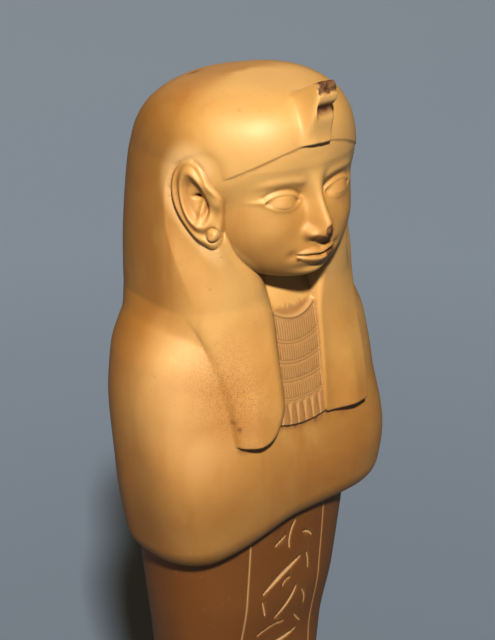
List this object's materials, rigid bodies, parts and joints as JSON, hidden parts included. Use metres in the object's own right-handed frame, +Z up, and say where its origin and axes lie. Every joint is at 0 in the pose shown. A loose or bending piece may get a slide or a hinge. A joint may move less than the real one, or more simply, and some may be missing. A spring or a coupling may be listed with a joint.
{
  "type": "funerary statuette",
  "caption": "Mummy-shaped stone figurine of a queen with folded, wrapped arms, smooth wig with front lappets, collar, broken brow cobra and low base; stands on a shelf or plinth.",
  "frame": {"origin": "centre of the underside of the low base, on the surface it stands on", "axes": "+Z up along the standing figure, -Y the way the face looks, +X to the figure's left"},
  "size_m": [0.07, 0.062, 0.2462],
  "materials": {
    "honey_stone": "hand-polished satin honey-coloured stone, paler in the incised lines"
  },
  "bodies": {
    "root": {"figure": "honey_stone"}
  },
  "joints": []
}
